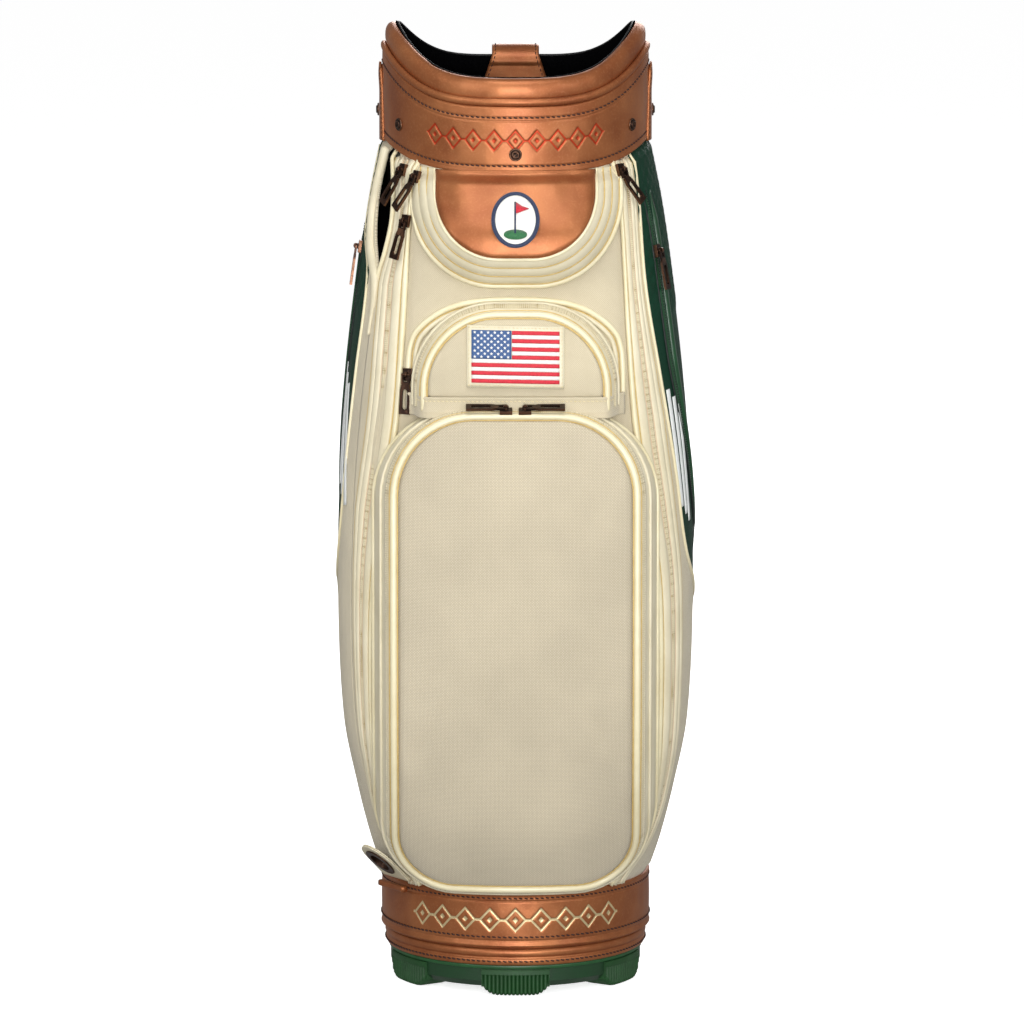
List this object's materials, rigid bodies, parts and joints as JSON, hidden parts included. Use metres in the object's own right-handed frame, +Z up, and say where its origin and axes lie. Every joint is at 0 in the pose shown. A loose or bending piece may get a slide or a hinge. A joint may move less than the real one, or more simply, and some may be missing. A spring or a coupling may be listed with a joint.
{
  "type": "golf staff bag",
  "caption": "Upright staff golf bag with a padded leather cuff, divided club tube, front pockets with zips, side pockets, spine handle and shoulder strap.",
  "frame": {"origin": "centre of the base on the floor, on the club tube's axis", "axes": "+Z up along the club tube, -Y towards the front pockets, +X to the right seen from the front"},
  "size_m": [0.3439, 0.4301, 0.93],
  "materials": {
    "moulded_green": "moulded green polypropylene",
    "foot_rubber": "ribbed green rubber",
    "black_felt": "black fleece",
    "black_plastic": "black moulded plastic",
    "frame_rod": "plain drawn rod",
    "copper_leather": "metallic copper grained leather",
    "cream_leather": "ivory polyurethane leather",
    "cream_weave": "beige ballistic weave",
    "green_weave": "dark green coated weave",
    "green_leather": "dark green polyurethane leather",
    "bronze_metal": "antique bronze plating",
    "flag_print": "woven flag patch",
    "emblem_print": "embroidered patch",
    "webbing": "cream webbing"
  },
  "bodies": {
    "bag": {"base_cup": "moulded_green", "base_feet": "foot_rubber", "floor_pad": "black_felt", "inner_tube": "black_plastic", "stay_rods": "frame_rod", "top_ring": "black_plastic", "divider_grid": "black_felt", "divider_sheets": "black_felt", "cuff_core": "black_plastic", "cuff_band": "copper_leather", "cuff_welt": "copper_leather", "cuff_roll": "copper_leather", "cuff_lining": "black_felt", "cuff_side_tabs": "copper_leather", "cuff_studs": "bronze_metal", "rim_handle": "copper_leather", "bottom_band": "copper_leather", "bottom_trim": "copper_leather", "front_panel": "cream_leather", "left_flank": "cream_leather", "cooler_panel": "cream_leather", "cooler_liner": "black_felt", "right_flank": "cream_leather", "left_side_panel": "green_weave", "right_side_panel": "green_weave", "back_panel": "cream_leather", "spine_handle": "copper_leather", "strap_anchors": "bronze_metal", "big_pocket_gusset": "cream_leather", "big_pocket_panel": "cream_weave", "upper_pocket_gusset": "cream_leather", "upper_pocket_panel": "cream_weave", "flag_patch": "flag_print", "valuables_gusset": "cream_leather", "valuables_panel": "copper_leather", "emblem_patch": "emblem_print", "tab_anchor": "cream_leather"},
    "strap": {"strap_hooks": "bronze_metal", "shoulder_strap": "webbing", "strap_pad": "copper_leather"},
    "umbrella_holder": {"umbrella_tab": "cream_leather", "umbrella_eyelet": "bronze_metal"},
    "slider_cooler": {"zip_slider_cooler": "bronze_metal"},
    "pull_cooler": {"zip_pull_cooler": "bronze_metal"},
    "slider_valuables": {"zip_slider_valuables": "bronze_metal"},
    "pull_valuables": {"zip_pull_valuables": "bronze_metal"},
    "slider_left_flank": {"zip_slider_left_flank": "bronze_metal"},
    "pull_left_flank": {"zip_pull_left_flank": "bronze_metal"},
    "slider_right_flank": {"zip_slider_right_flank": "bronze_metal"},
    "pull_right_flank": {"zip_pull_right_flank": "bronze_metal"},
    "slider_upper_pocket": {"zip_slider_upper_pocket": "bronze_metal"},
    "pull_upper_pocket": {"zip_pull_upper_pocket": "bronze_metal"},
    "slider_big_pocket_left": {"zip_slider_big_pocket_left": "bronze_metal"},
    "pull_big_pocket_left": {"zip_pull_big_pocket_left": "bronze_metal"},
    "slider_big_pocket_right": {"zip_slider_big_pocket_right": "bronze_metal"},
    "pull_big_pocket_right": {"zip_pull_big_pocket_right": "bronze_metal"},
    "slider_left_side": {"zip_slider_left_side": "bronze_metal"},
    "pull_left_side": {"zip_pull_left_side": "bronze_metal"},
    "slider_right_side": {"zip_slider_right_side": "bronze_metal"},
    "pull_right_side": {"zip_pull_right_side": "bronze_metal"}
  },
  "joints": [
    {"name": "umbrella_tab_hinge", "type": "hinge", "parent": "bag", "child": "umbrella_holder", "pos_m": [-0.11441, -0.07717, 0.106], "axis": [0.5592, -0.829, 0], "range_deg": [-10, 55]},
    {"name": "strap_swing", "type": "hinge", "parent": "bag", "child": "strap", "pos_m": [0, 0.163, 0.54], "axis": [0, 0, 1], "range_deg": [-55, 55]},
    {"name": "cooler_zip", "type": "slide", "parent": "bag", "child": "slider_cooler", "axis": [0.249, 0.1965, 0.9484], "range_m": [-0.024, 0]},
    {"name": "cooler_pull", "type": "hinge", "parent": "slider_cooler", "child": "pull_cooler", "pos_m": [-0.11058, -0.08921, 0.79816], "axis": [0.6195, -0.785, 0], "range_deg": [-150, 0]},
    {"name": "valuables_zip", "type": "slide", "parent": "bag", "child": "slider_valuables", "axis": [0.2627, 0.1936, 0.9453], "range_m": [-0.014, 0]},
    {"name": "valuables_pull", "type": "hinge", "parent": "slider_valuables", "child": "pull_valuables", "pos_m": [-0.09742, -0.10853, 0.79372], "axis": [0.5933, -0.805, 0], "range_deg": [-150, 0]},
    {"name": "left_flank_zip", "type": "slide", "parent": "bag", "child": "slider_left_flank", "axis": [0.1485, 0.1704, 0.9741], "range_m": [-0.1, 0]},
    {"name": "left_flank_pull", "type": "hinge", "parent": "slider_left_flank", "child": "pull_left_flank", "pos_m": [-0.10681, -0.11283, 0.75154], "axis": [0.7539, -0.657, 0], "range_deg": [-150, 0]},
    {"name": "right_flank_zip", "type": "slide", "parent": "bag", "child": "slider_right_flank", "axis": [-0.2311, 0.2192, 0.9479], "range_m": [-0.06, 0]},
    {"name": "right_flank_pull", "type": "hinge", "parent": "slider_right_flank", "child": "pull_right_flank", "pos_m": [0.10283, -0.09764, 0.79917], "axis": [0.6881, 0.7256, 0], "range_deg": [-150, 0]},
    {"name": "upper_pocket_zip", "type": "slide", "parent": "bag", "child": "slider_upper_pocket", "axis": [0.0397, 0.0931, 0.9949], "range_m": [0, 0.04]},
    {"name": "upper_pocket_pull", "type": "hinge", "parent": "slider_upper_pocket", "child": "pull_upper_pocket", "pos_m": [-0.10401, -0.14115, 0.60769], "axis": [0.92, -0.392, 0], "range_deg": [-150, 0]},
    {"name": "big_pocket_left_zip", "type": "slide", "parent": "bag", "child": "slider_big_pocket_left", "axis": [1, 0, 0], "range_m": [-0.045, 0]},
    {"name": "big_pocket_left_pull", "type": "hinge", "parent": "slider_big_pocket_left", "child": "pull_big_pocket_left", "pos_m": [-0.009, -0.188, 0.583], "axis": [0, -0.9511, -0.309], "range_deg": [-140, 0]},
    {"name": "big_pocket_right_zip", "type": "slide", "parent": "bag", "child": "slider_big_pocket_right", "axis": [-1, 0, 0], "range_m": [-0.045, 0]},
    {"name": "big_pocket_right_pull", "type": "hinge", "parent": "slider_big_pocket_right", "child": "pull_big_pocket_right", "pos_m": [0.009, -0.188, 0.583], "axis": [0, 0.9511, 0.309], "range_deg": [-140, 0]},
    {"name": "left_side_zip", "type": "slide", "parent": "bag", "child": "slider_left_side", "axis": [0.1407, 0.0054, 0.99], "range_m": [-0.1, 0]},
    {"name": "left_side_pull", "type": "hinge", "parent": "slider_left_side", "child": "pull_left_side", "pos_m": [-0.15343, -0.01882, 0.71596], "axis": [0.0385, -0.9993, 0], "range_deg": [-150, 0]},
    {"name": "right_side_zip", "type": "slide", "parent": "bag", "child": "slider_right_side", "axis": [-0.1704, 0.0814, 0.982], "range_m": [-0.1, 0]},
    {"name": "right_side_pull", "type": "hinge", "parent": "slider_right_side", "child": "pull_right_side", "pos_m": [0.13926, -0.08175, 0.71928], "axis": [0.4309, 0.9024, 0], "range_deg": [-150, 0]}
  ]
}
